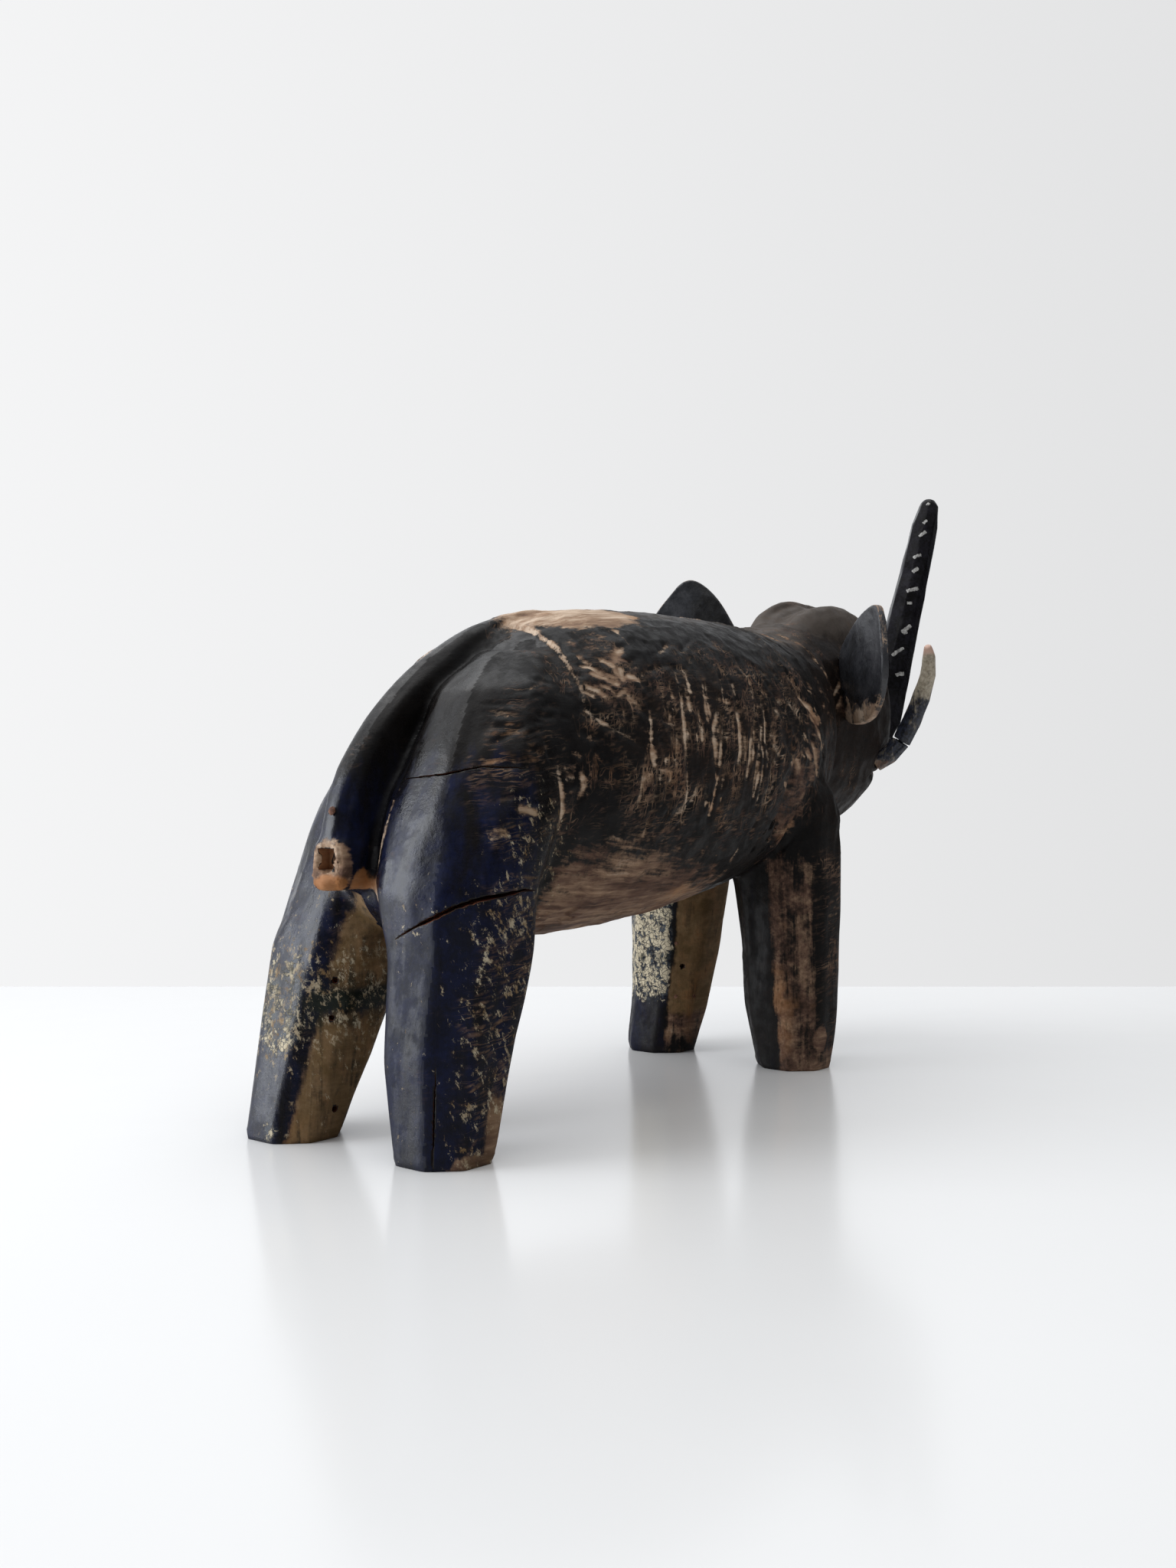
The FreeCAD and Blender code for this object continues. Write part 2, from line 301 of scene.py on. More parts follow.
def cleft(name, path, outward, width, depth, material):
    """A thin jagged wedge that opens a crack along a path."""
    steps = 44
    path = np.asarray(path, float)
    outward = np.asarray(outward, float)
    runs = np.linspace(0, len(path) - 1, len(path))
    wedge = bmesh.new()
    rows = []
    wander = np.cumsum(draw.normal(size=steps)) * 0.12
    wander -= np.linspace(wander[0], wander[-1], steps)
    for number in range(steps):
        t = number / (steps - 1) * (len(path) - 1)
        place = np.array([np.interp(t, runs, path[:, axis]) for axis in range(3)])
        normal = unit(np.array([np.interp(t, runs, outward[:, axis]) for axis in range(3)]))
        swell = math.sin(math.pi * min(max(number / (steps - 1), 0.02), 0.98)) ** 0.7
        half = width / 2 * swell * draw.uniform(0.65, 1.2) + 0.12
        side = unit(np.cross(normal, path[-1] - path[0]))
        place = place + side * wander[number]
        top = place + normal * 5
        foot = place - normal * depth * swell
        corners = (top + side * half * 1.3, top - side * half * 1.3,
                   foot - side * half * 0.25, foot + side * half * 0.25)
        rows.append([wedge.verts.new(Vector((corner - MIDDLE) * MM)) for corner in corners])
    for one, two in zip(rows, rows[1:]):
        for k in range(4):
            wedge.faces.new((one[k], one[(k + 1) % 4], two[(k + 1) % 4], two[k]))
    wedge.faces.new(rows[0][::-1])
    wedge.faces.new(rows[-1])
    bmesh.ops.recalc_face_normals(wedge, faces=wedge.faces)
    return cutter(name, wedge, material)


def drill(name, centre, outward, radius, depth, material):
    """A short round cutter for a nail hole."""
    hole = bmesh.new()
    bmesh.ops.create_cone(hole, cap_ends=True, segments=14, radius1=radius * MM * 0.8,
                          radius2=radius * MM * 1.15, depth=(depth + 6) * MM)
    turn = Vector(outward).to_track_quat("Z", "Y").to_matrix().to_4x4()
    shift = (np.array(centre) - MIDDLE) * MM + unit(np.array(outward, float)) * (6 - depth) / 2 * MM
    turn.translation = Vector(shift)
    bmesh.ops.transform(hole, matrix=turn, verts=hole.verts)
    return cutter(name, hole, material)


def square_hole(name, centre, size, material):
    """A box cutter."""
    box = bmesh.new()
    bmesh.ops.create_cube(box, size=MM)
    bmesh.ops.scale(box, vec=Vector(size), verts=box.verts)
    bmesh.ops.translate(box, vec=Vector((np.array(centre) - MIDDLE) * MM), verts=box.verts)
    return cutter(name, box, material)


# ---------------------------------------------------------------- materials

class Web:
    """The nodes of a material or of the world, with short words for the ones used here."""

    def __init__(self, owner):
        owner.use_nodes = True
        self.owner = owner
        self.tree = owner.node_tree
        self.tree.nodes.clear()
        self.places = self.make("ShaderNodeTexCoord").outputs
        self.where = self.places["Object"]

    def make(self, kind, inputs=(), **settings):
        node = self.tree.nodes.new(kind)
        for name, value in settings.items():
            setattr(node, name, value)
        for key, value in dict(inputs).items():
            if isinstance(value, bpy.types.NodeSocket):
                self.tree.links.new(value, node.inputs[key])
            else:
                node.inputs[key].default_value = value
        return node

    def stretched(self, scale, turn=(0, 0, 0), where=None):
        """Coordinates turned, then squeezed along the turned axes, in repeats per metre."""
        size = tuple(1 / value for value in scale)
        inputs = {"Vector": where or self.where, "Scale": size, "Rotation": turn}
        return self.make("ShaderNodeMapping", inputs, vector_type="TEXTURE").outputs[0]

    def wavy(self, amount, scale):
        """Coordinates pushed about by a little noise, so that marks are not too regular."""
        inputs = {"Vector": self.where, "Scale": scale, "Detail": 3.0}
        push = self.make("ShaderNodeTexNoise", inputs).outputs["Color"]
        offset = self.make("ShaderNodeVectorMath", {0: push, 1: (0.5, 0.5, 0.5)}, operation="SUBTRACT").outputs[0]
        inputs = {0: offset, 1: (amount, amount, amount), 2: self.where}
        return self.make("ShaderNodeVectorMath", inputs, operation="MULTIPLY_ADD").outputs[0]

    def noise(self, scale, detail=4.0, rough=0.55, where=None, twist=0.0):
        """Noise that is spread to fill 0 to 1."""
        inputs = {"Vector": where or self.where, "Scale": scale, "Detail": detail, "Roughness": rough,
                  "Distortion": twist}
        plain = self.make("ShaderNodeTexNoise", inputs).outputs[0]
        return self.make("ShaderNodeMapRange", {"Value": plain, "From Min": 0.28, "From Max": 0.72}).outputs[0]

    def cells(self, scale, where=None, feature="F1"):
        inputs = {"Vector": where or self.where, "Scale": scale}
        return self.make("ShaderNodeTexVoronoi", inputs, feature=feature).outputs["Distance"]

    def scratches(self, scale, turn, where):
        """Thin lines along the ridges of a stretched noise."""
        inputs = {"Vector": self.stretched(scale, turn, where), "Scale": 1.0, "Detail": 2.0, "Roughness": 0.6}
        plain = self.make("ShaderNodeTexNoise", inputs).outputs[0]
        away = self.math("ABSOLUTE", self.math("SUBTRACT", plain, 0.5))
        return self.band(away, 0.030, 0.004)

    def mark(self, name):
        return self.make("ShaderNodeAttribute", attribute_name=name).outputs["Fac"]

    def math(self, operation, one, two=0.5, clamp=False):
        return self.make("ShaderNodeMath", {0: one, 1: two}, operation=operation, use_clamp=clamp).outputs[0]

    def add(self, *terms):
        """Adds terms up. A term is a value or the name of a mark, with or without a weight."""
        values = []
        for term in terms:
            value, weight = term if isinstance(term, tuple) else (term, None)
            if isinstance(value, str):
                value = self.mark(value)
            values.append(value if weight is None else self.times(value, weight))
        total = values[0]
        for value in values[1:]:
            total = self.math("ADD", total, value)
        return total

    def times(self, one, two):
        return self.math("MULTIPLY", one, two)

    def band(self, value, low, high, start=0.0, end=1.0):
        inputs = {"Value": value, "From Min": low, "From Max": high, "To Min": start, "To Max": end}
        return self.make("ShaderNodeMapRange", inputs, interpolation_type="SMOOTHSTEP").outputs[0]

    def most(self, one, *others):
        for other in others:
            one = self.math("MAXIMUM", one, other)
        return one

    def between(self, amount, one, two):
        return self.make("ShaderNodeMix", {0: amount, 2: one, 3: two}, data_type="FLOAT").outputs[0]

    def blend(self, amount, one, two):
        node = self.make("ShaderNodeMix", {0: amount, 6: one, 7: two}, data_type="RGBA")
        return node.outputs[2]

    def shades(self, value, *stops):
        """A colour for each value: stops are (place, colour)."""
        ramp = self.make("ShaderNodeValToRGB", {0: value})
        marks = ramp.color_ramp.elements
        while len(marks) < len(stops):
            marks.new(0.5)
        for mark, (place, colour) in zip(marks, stops):
            mark.position = place
            mark.color = colour
        return ramp.outputs[0]

    def finish(self, colour, roughness, height, depth, **shader):
        bump = self.make("ShaderNodeBump", {"Height": height, "Distance": depth, "Strength": 1.0}).outputs[0]
        inputs = {"Base Color": colour, "Roughness": roughness, "Normal": bump}
        inputs.update({key.replace("_", " "): value for key, value in shader.items()})
        surface = self.make("ShaderNodeBsdfPrincipled", inputs)
        self.make("ShaderNodeOutputMaterial", {"Surface": surface.outputs[0]})
        return self.owner


def tone(red, green, blue):
    return (red, green, blue, 1.0)


BLACK = tone(0.0045, 0.0040, 0.0042)
SOOT = tone(0.0080, 0.0062, 0.0052)
INDIGO = tone(0.0036, 0.0046, 0.0120)
BLUE = tone(0.0063, 0.0098, 0.038)
AMBER = tone(0.34, 0.14, 0.045)
CREAM = tone(0.52, 0.45, 0.32)
BLUE_GREY = tone(0.075, 0.088, 0.10)
GREEN_BLACK = tone(0.010, 0.013, 0.009)
OLIVE = tone(0.125, 0.078, 0.028)
OCHRE = tone(0.215, 0.135, 0.062)
PALE = tone(0.58, 0.445, 0.33)
TAN = tone(0.31, 0.200, 0.128)
BROWN = tone(0.120, 0.068, 0.048)
UMBER = tone(0.028, 0.016, 0.010)
# The grey of the painted sheen on top surfaces
SHEEN_GREY = tone(0.078, 0.064, 0.054)
ORANGE = tone(0.42, 0.20, 0.080)
RUST_BROWN = tone(0.0150, 0.0088, 0.0062)


def bare_wood(web, along=(9, 90, 90), lift=None):
    """Colour and relief of worn wood with its grain along the log."""
    fibres = web.noise(1.0, 8.0, 0.62, web.stretched(along), 0.4)
    fine = web.noise(1.0, 4.0, 0.6, web.stretched(tuple(4.5 * value for value in along)), 0.2)
    mottle = web.noise(26.0, 5.0, 0.6)
    mixed = web.add((fibres, 0.45), (fine, 0.25), (mottle, 0.30))
    if lift:
        mixed = web.add(mixed, (lift, 0.34))
    colour = web.shades(mixed, (0.22, UMBER), (0.46, BROWN), (0.72, TAN), (0.98, PALE))
    orange = web.band(web.noise(17.0, 4.0, 0.55), 0.60, 0.95)
    colour = web.blend(web.times(orange, 0.45), colour, ORANGE)
    return colour, web.add((fibres, 0.7), (fine, 0.3))


def painted_body(name, shine, specular):
    """Worn paint on the log. The marks say where it is bare, blue, cream, brown or cut."""
    web = Web(bpy.data.materials.new(name))
    wood, grain = bare_wood(web, lift=web.most(web.mark("pale"), web.times(web.mark("cut"), 1.4)))
    broad = web.noise(14.0, 5.0, 0.6)
    middle = web.noise(70.0, 6.0, 0.65, twist=0.3)
    fine = web.noise(330.0, 5.0, 0.7)
    streak = web.noise(1.0, 5.0, 0.62, web.stretched((22, 240, 240), (0.0, 0.12, 0.0)), 0.4)
    runs = web.noise(1.0, 5.0, 0.62, web.stretched((170, 170, 13)), 0.5)
    broad_runs = web.noise(1.0, 4.0, 0.6, web.stretched((75, 75, 9)), 0.3)

    # Paint: black, going blue on the hind part and brown towards the head
    shade = web.shades(web.add((broad, 0.5), (fine, 0.5)), (0.35, BLACK), (0.85, SOOT))
    bluish = web.band(web.add("blue", (broad_runs, 0.55), (middle, 0.2)), 0.85, 1.40)
    indigo = web.shades(web.add((broad, 0.3), (middle, 0.4), (fine, 0.3)),
                        (0.38, INDIGO), (0.85, BLUE))
    paint = web.blend(bluish, shade, indigo)
    dusty = web.band(web.add("brown", (middle, 0.35), (streak, 0.3)), 0.55, 1.05)
    paint = web.blend(web.times(dusty, 0.85), paint, RUST_BROWN)
    # Painted sheen: a grey film on the tops, where light from above is reflected
    painted_sheen = web.band(web.add("top_sheen", (middle, 0.25), (broad_runs, 0.35)), 0.60, 1.25)
    paint = web.blend(web.times(painted_sheen, 0.9), paint, SHEEN_GREY)

    # Short dashes and long thin scratches
    loose = web.wavy(0.004, 90.0)
    hatch = web.mark("hatch")
    cluster = web.noise(30.0, 4.0, 0.6)
    where_hatched = web.add((hatch, 0.55), (cluster, 0.50))
    dash = web.cells(1.0, web.stretched((42, 42, 190), (0.0, -0.22, 0.0), loose))
    small = web.cells(1.0, web.stretched((90, 90, 330), (0.0, -0.30, 0.0), loose))
    dashes = web.most(web.band(dash, 0.34, 0.06), web.times(web.band(small, 0.38, 0.10), 0.8))
    dashes = web.times(dashes, web.band(where_hatched, 0.55, 0.92))
    level = web.times(web.scratches((24, 24, 230), (0.0, -0.12, 0.0), loose),
                      web.band(where_hatched, 0.58, 0.98))
    steep = web.times(web.scratches((120, 120, 9), (0.0, 0.12, 0.0), loose),
                      web.band(web.add(cluster, "ribs"), 0.90, 1.35))
    across = web.times(web.scratches((34, 90, 150), (0.0, -0.85, 0.0), loose),
                       web.band(web.add(cluster, "ribs"), 1.0, 1.35))
    lines = web.most(level, steep, across)
    hatched = web.most(web.times(dashes, 0.9), web.times(lines, 0.85))
    hatched = web.times(hatched, web.band(web.add(fine, middle), 0.45, 1.15, 0.15, 1.0))

    # Rubbed through to the wood
    scuffs = web.add("bare", ("cut", 0.64), ("edge", 0.35),
                     ("olive", 0.30))
    grained = web.between(web.mark("runs"), streak, runs)
    rubbed = web.add(scuffs, (middle, 0.30), (grained, 0.40), (fine, 0.15))
    worn = web.band(rubbed, 0.84, 1.14)
    flakes = web.noise(190.0, 5.0, 0.68, twist=0.6)
    flecks = web.noise(1.0, 7.0, 0.78, web.stretched((210, 210, 120), (0.0, -0.5, 0.0)))
    chips = web.band(web.add(("chips", 0.5), (flecks, 0.9)), 0.98, 1.14)
    bare = web.math("MAXIMUM", worn, hatched, clamp=True)

    # Old layers: olive varnish and crackled cream
    stained = web.times(web.band(web.add("olive", (middle, 0.3)), 0.45, 0.95), 0.75)
    wood = web.blend(stained, wood, web.blend(web.band(middle, 0.2, 0.8), OLIVE, OCHRE))
    amber = web.band(web.add("amber", (middle, 0.4)), 0.55, 1.05)
    wood = web.blend(web.times(amber, 0.8), wood, AMBER)
    crackle = web.cells(260.0, feature="DISTANCE_TO_EDGE")
    flaked = web.add("cream", (middle, 0.30), (flakes, 0.60))
    cream = web.times(web.band(flaked, 0.95, 1.08), web.band(crackle, 0.01, 0.05))
    under = web.band(web.add("cream", (middle, 0.3)), 0.50, 0.75)

    colour = web.blend(bare, paint, wood)
    colour = web.blend(web.times(under, 0.8), colour, web.blend(web.band(fine, 0.25, 0.75), INDIGO, BLUE_GREY))
    colour = web.blend(cream, colour, CREAM)
    # Soiling on the legs, and painted shade under the belly, darken towards green-black
    darkened = web.band(web.add("soil_and_shade", (middle, 0.25), (grained, 0.35), (fine, 0.10)),
                     0.74, 1.04)
    colour = web.blend(web.times(darkened, 0.9), colour, GREEN_BLACK)
    colour = web.blend(web.times(chips, 0.85), colour, web.shades(middle, (0.25, OCHRE), (0.75, CREAM)))
    # Painted shade: creases and the grooves marked hollow are darkened towards black
    crease_shade = web.times(web.band(web.add("hollow", (middle, 0.3)), 0.50, 1.05), 0.85)
    colour = web.blend(crease_shade, colour, BLACK)

    gloss = web.band(web.add((web.noise(120.0, 5.0, 0.65), 0.5), (broad_runs, 0.5)), 0.3, 0.75,
                     shine, shine + 0.26)
    gloss = web.add(gloss, ("matt", 0.30))
    roughness = web.between(web.most(bare, chips, cream), gloss, 0.74)
    film = web.times(web.math("SUBTRACT", 1.0, bare), 0.35)
    height = web.add((grain, 0.22), film, (cream, 0.45), (fine, 0.10), (middle, 0.12),
                     web.times(web.mark("runs"), web.times(runs, 0.25)))
    return web.finish(colour, roughness, height, 0.0008, Specular_IOR_Level=specular)


def split_wood():
    """Fresh dark red-brown wood inside cracks and holes."""
    web = Web(bpy.data.materials.new("split_wood"))
    fibres = web.noise(1.0, 7.0, 0.65, web.stretched((14, 210, 210)), 0.6)
    blotch = web.noise(90.0, 4.0, 0.6)
    mixed = web.add((fibres, 0.6), (blotch, 0.4))
    colour = web.shades(mixed, (0.30, tone(0.030, 0.012, 0.006)), (0.55, tone(0.13, 0.036, 0.016)),
                        (0.85, tone(0.36, 0.12, 0.050)))
    return web.finish(colour, 0.85, fibres, 0.0008, Specular_IOR_Level=0.3)


def raw_wood():
    """Clean pale wood in the tail hole."""
    web = Web(bpy.data.materials.new("raw_wood"))
    wood, grain = bare_wood(web)
    colour = web.blend(0.5, wood, AMBER)
    return web.finish(colour, 0.8, grain, 0.0006, Specular_IOR_Level=0.3)


def painted_trunk():
    """Glossy black paint with worn white dashes down one side."""
    web = Web(bpy.data.materials.new("painted_trunk"))
    wood, grain = bare_wood(web, (60, 60, 9))
    middle = web.noise(75.0, 5.0, 0.6, twist=0.3)
    fine = web.noise(420.0, 5.0, 0.7)
    shade = web.shades(web.add((middle, 0.5), (fine, 0.5)), (0.35, BLACK), (0.85, tone(0.015, 0.014, 0.019)))
    rubbed = web.add("bare", ("edge", 0.30), (middle, 0.40), (fine, 0.25))
    worn = web.band(rubbed, 0.82, 0.98)
    chips = web.add("dash", (middle, 0.25), (fine, 0.30))
    white = web.band(chips, 0.80, 0.98)
    colour = web.blend(worn, shade, wood)
    silver = web.shades(fine, (0.25, tone(0.16, 0.155, 0.15)), (0.80, tone(0.46, 0.45, 0.43)))
    colour = web.blend(white, colour, silver)
    gloss = web.band(web.noise(150.0, 4.0, 0.6), 0.2, 0.9, 0.12, 0.26)
    roughness = web.between(web.most(worn, web.times(white, 0.6)), gloss, 0.62)
    height = web.add((grain, 0.10), (fine, 0.08), (middle, 0.15), (white, 0.3))
    return web.finish(colour, roughness, height, 0.0005, Specular_IOR_Level=0.07)


def painted_ear():
    """Dark grey rubbed paint, bare at the rim and along the bottom."""
    web = Web(bpy.data.materials.new("painted_ear"))
    wood, grain = bare_wood(web, (60, 60, 12), web.times(web.mark("bare"), 1.2))
    broad = web.noise(24.0, 4.0, 0.55)
    middle = web.noise(85.0, 6.0, 0.65, twist=0.3)
    fine = web.noise(380.0, 5.0, 0.7)
    shade = web.shades(web.add((broad, 0.5), (middle, 0.3), (fine, 0.2)),
                       (0.25, BLACK), (0.50, tone(0.018, 0.019, 0.023)), (0.80, tone(0.050, 0.050, 0.055)))
    rubbed = web.add(("bare", 1.15), ("edge", 0.40), (middle, 0.65),
                     (fine, 0.25))
    worn = web.band(rubbed, 1.00, 1.16)
    colour = web.blend(worn, shade, wood)
    spots = web.band(web.noise(62.0, 6.0, 0.72, twist=0.4), 0.52, 0.70)
    colour = web.blend(web.times(spots, 0.85), colour, shade)
    gloss = web.band(web.noise(130.0, 5.0, 0.6), 0.2, 0.9, 0.30, 0.46)
    roughness = web.between(worn, gloss, 0.75)
    height = web.add((grain, 0.15), (fine, 0.12), (middle, 0.2), (worn, -0.3))
    return web.finish(colour, roughness, height, 0.0007, Specular_IOR_Level=0.60)


def painted_tusk():
    """Dirty cream paint, worn blue-black towards the root and pinkish at the tip."""
    web = Web(bpy.data.materials.new("painted_tusk"))
    wood, grain = bare_wood(web, (50, 50, 12))
    middle = web.noise(95.0, 6.0, 0.65, twist=0.4)
    fine = web.noise(460.0, 5.0, 0.7)
    streak = web.noise(1.0, 5.0, 0.6, web.stretched((160, 160, 40)), 0.5)
    chalk = web.shades(web.add((middle, 0.5), (fine, 0.5)), (0.22, tone(0.20, 0.17, 0.12)),
                       (0.50, tone(0.42, 0.36, 0.27)), (0.80, tone(0.56, 0.50, 0.39)))
    pink = web.band(web.add("tip", (middle, 0.3)), 0.5, 1.1)
    chalk = web.blend(pink, chalk, tone(0.55, 0.36, 0.28))
    dark = web.shades(fine, (0.25, BLACK), (0.80, tone(0.030, 0.036, 0.060)))
    darkened = web.band(web.add("dark", (streak, 0.35), (middle, 0.3)), 0.82, 1.05)
    colour = web.blend(darkened, chalk, dark)
    rubbed = web.add("bare", ("edge", 0.30), (middle, 0.35), (fine, 0.20))
    colour = web.blend(web.band(rubbed, 0.82, 0.98), colour, wood)
    roughness = web.band(web.noise(140.0, 5.0), 0.2, 0.9, 0.36, 0.62)
    height = web.add((grain, 0.10), (fine, 0.15), (middle, 0.2), (darkened, -0.2))
    return web.finish(colour, roughness, height, 0.0007, Specular_IOR_Level=0.42)


def rusty_iron():
    """Old nails, brown with rust and a little bare metal."""
    web = Web(bpy.data.materials.new("rusty_iron"))
    blotch = web.noise(420.0, 6.0, 0.7, twist=0.5)
    grit = web.noise(1500.0, 4.0, 0.7)
    mixed = web.add((blotch, 0.65), (grit, 0.35))
    colour = web.shades(mixed, (0.22, tone(0.020, 0.013, 0.011)), (0.50, tone(0.12, 0.050, 0.028)),
                        (0.80, tone(0.26, 0.13, 0.075)))
    roughness = web.band(blotch, 0.1, 0.9, 0.45, 0.85)
    metal = web.band(blotch, 0.75, 0.35, 0.0, 0.7)
    return web.finish(colour, roughness, mixed, 0.0004, Metallic=metal, Specular_IOR_Level=0.5)


def white_floor():
    web = Web(bpy.data.materials.new("white_floor"))
    haze = web.noise(3.0, 3.0, 0.5)
    roughness = web.band(haze, 0.1, 0.9, 0.15, 0.23)
    height = web.noise(60.0, 2.0, 0.5)
    return web.finish(tone(0.80, 0.795, 0.785), roughness, height, 0.00001, Specular_IOR_Level=0.45)


PAINTED = painted_body("painted_log", 0.20, 0.13)
POLISHED = painted_body("polished_paint", 0.12, 0.32)
SPLIT = split_wood()
RAW = raw_wood()


# ---------------------------------------------------------------- the log

def long_cuts(skin, wanted, spacing, along, depth, long, wide, lean=0.05, soften=0):
    """Covers part of the surface with gouge cuts, each one a little different."""
    skin.cut_away = np.zeros(len(skin.points))
    for number in skin.seeds(spacing, wanted):
        direction = along(skin.points[number], skin.normals[number])
        direction = unit(direction + 0.12 * draw.normal(size=3))
        scale = draw.uniform(0.75, 1.3)
        skin.scoop(number, direction, depth * draw.uniform(0.6, 1.4), long * scale,
                   wide * draw.uniform(0.85, 1.2), lean)
    skin.points -= skin.cut_away[:, None] * skin.normals
    if soften:
        skin.smooth(rounds(soften) + 1, wanted.astype(float))
    skin.refresh()


def carve_body():
    skin = Skin("carved_log", "body", BODY_VOXEL)
    x, y, z = skin.points.T
    skin.sole = z < 1.0
    swell = 1.0 + 0.2 * fade(z, 8, 40) + 1.4 * fade(z, 12, 60) * fade(-z, -230, -170)
    skin.points += swell[:, None] * skin.normals
    skin.smooth(rounds(6) + 1)
    joins = fade(z, 95, 150) * fade(-z, -320, -285) * fade(-np.abs(x + 150), -75, -40)
    joins = np.maximum(joins, fade(z, 120, 170) * fade(-z, -280, -240) * fade(-np.abs(x - 195), -75, -40))
    joins = np.maximum(joins, fade(-np.abs(x - 250), -60, -30))
    fin = fade(-np.abs(y), -17, -9) * fade(-x, 120, 170)
    skin.smooth(rounds(46), joins * (1 - fin))
    skin.index()
    x, y, z = skin.points.T
    leg = (z < 165) & ((np.abs(x + 185) < 60) | (np.abs(x - 197) < 50)) & (z > 6)
    rump = (x < -92) & (z >= 165)
    head = x > 225
    torso = ~(leg | rump | head) & (z > 6)

    def upright(point, normal):
        return UP

    def down_the_rump(point, normal):
        return np.array((-0.75, 0.0, -0.9)) if point[2] > 235 else UP

    def over_the_torso(point, normal):
        if normal[2] > 0.55 or normal[2] < -0.4:
            return FORWARD + 0.3 * UP
        return UP + 0.35 * FORWARD

    def round_the_head(point, normal):
        return FORWARD + 0.5 * UP

    long_cuts(skin, torso, 11, over_the_torso, 0.8, 22, 11)
    long_cuts(skin, head, 12, round_the_head, 0.7, 24, 13, soften=2)
    long_cuts(skin, rump, 13, down_the_rump, 0.7, 62, 30, 0.02, 10)
    long_cuts(skin, leg, 13, upright, 0.65, 62, 30, 0.02, 10)

    # The back of the right thigh is smoother than the rest
    smooth_spot = np.linalg.norm((skin.points - (-214, -62, 178)) / (24, 22, 32), axis=1)
    skin.smooth(rounds(60), fade(-smooth_spot, -1.0, -0.4))

    # The carved edges: haunch, shoulder, back of the skull, crown groove, folds
    haunch = [(-78, 4, 331), (-82, -30, 322), (-89, -56, 309), (-92, -72, 296), (-95, -86, 279), (-104, -96, 252)]
    shoulder = [(118, 12, 348), (150, -18, 347), (160, -45, 338), (152, -72, 320), (143, -90, 292)]
    skull = [(262, 2, 362), (258, -28, 350), (266, -48, 330), (284, -57, 300)]
    for side in (-1, 1):
        turned = np.array((1, -side, 1))
        for path, height, run, worn in ((haunch, 2.6, 16, 0.95), (shoulder, 2.0, 14, 0.6)):
            path = np.array(path) * turned
            skin.mark("cut", worn * skin.step(path[::-1] if side < 0 else path, height, run))
        skin.mark("cut", 0.30 * skin.step(np.array(skull) * turned, 2.2, 16))
        skin.mark("hollow", skin.groove([(-118, side * 86, 162), (-112, side * 97, 172), (-100, side * 99, 186)], 4.0, 3.2))
        skin.groove([(146, side * 96, 246), (132, side * 92, 205), (138, side * 78, 168)], 5.0, 2.6)
        skin.groove([(170, side * 92, 262), (184, side * 84, 230), (214, side * 70, 205)], 5.0, 2.2)
        for number in range(3):
            drop = 12 * number
            fold = [(284, side * 57, 318 - drop), (266, side * 60, 304 - drop), (246, side * 66, 296 - 1.4 * drop)]
            skin.mark("cut", 0.6 * skin.groove(fold, 2.4, 1.3))
    for sideways in (9, -15):
        crown = [(262, 0, 364), (300, 0, 377), (345, 0, 378), (392, 0, 358)]
        skin.groove(np.array(crown) + np.array((0, sideways, 0)), 5.5, 3.8)
    for start in (168, 196, 226):
        for side in (-1, 1):
            crease = [(start, side * 22, 346), (start + 16, side * 50, 328), (start + 22, side * 70, 302),
                      (start + 14, side * 84, 272)]
            skin.mark("cut", 0.62 * skin.step(crease[::-1] if side < 0 else crease, 1.3, 11))

    # The groove between the ridge and the right buttock, with its worn lip
    cleft_line = [(-158, -13, 268), (-171, -13, 250), (-184, -15, 230), (-194, -15, 216), (-203, -16, 197),
                  (-208, -15, 170), (-203, -8, 150)]
    skin.mark("hollow", skin.groove(cleft_line, 4.2, 3.6, 0.1))
    lip = [np.array(skin.tree.find(np.array(point) + (2, -10, 0))[0]) for point in cleft_line[1:]]
    distance, place, _ = skin.nearest_on(lip)
    skin.mark("cut", 0.95 * np.exp(-(distance / 3.0) ** 2) * fade(place, 0.0, 0.25))

    # Eyes and mouth
    for side in (-1, 1):
        lid = []
        for step in range(13):
            angle = 2 * math.pi * step / 12
            lid.append(on_flank(skin, 372 + 11 * math.cos(angle), side, 303 + 6.5 * math.sin(angle)))
        skin.mark("cut", 0.8 * skin.groove(lid, 2.2, 2.4, 0.001))
        away = np.linalg.norm(skin.points - on_flank(skin, 372, side, 303), axis=1)
        skin.points += 1.8 * np.exp(-(away / 5.0) ** 2)[:, None] * skin.normals
    mouth = [(350, 50, 224), (374, 46, 226), (392, 34, 230), (402, 16, 234), (406, 0, 235), (402, -16, 234),
             (392, -34, 230), (374, -46, 226), (350, -50, 224)]
    mouth = [np.array(skin.tree.find(point)[0]) for point in mouth]
    skin.mark("cut", 0.7 * skin.groove(mouth, 3.0, 4.5, 0.08))
    skin.refresh()
    return skin


